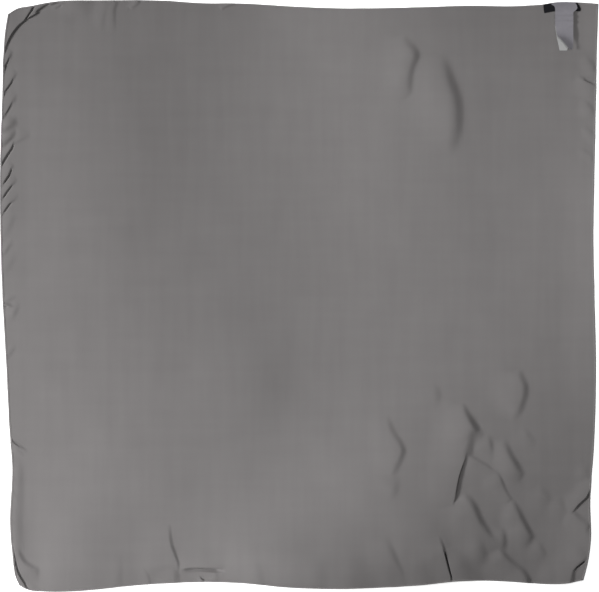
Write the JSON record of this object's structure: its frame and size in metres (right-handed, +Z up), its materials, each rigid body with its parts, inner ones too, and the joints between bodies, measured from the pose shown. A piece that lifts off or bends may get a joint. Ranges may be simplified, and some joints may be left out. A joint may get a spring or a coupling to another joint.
{
  "type": "square silk scarf",
  "caption": "Plain square silk scarf laid flat, with narrow rolled hems, soft creases, and bare black and grey labels at the top hem.",
  "frame": {"origin": "on the surface the scarf lies on, under the middle of its outline", "axes": "+Z up from the surface, +Y towards the side with the labels, +X towards the right side seen from above"},
  "size_m": [0.9089, 0.8983, 0.0086],
  "materials": {
    "silk": "fine plain-weave silk, soft sheen",
    "hem_silk": "rolled silk hem, soft sheen",
    "woven_black": "black woven tape, matt",
    "care_pale": "pale satin ribbon",
    "care_satin": "grey satin ribbon"
  },
  "bodies": {
    "root": {"panel": "silk", "hem_top": "hem_silk", "hem_right": "hem_silk", "hem_bottom": "hem_silk", "hem_left": "hem_silk", "woven_label": "woven_black", "care_label_lower": "care_pale", "care_label_upper": "care_satin"}
  },
  "joints": []
}
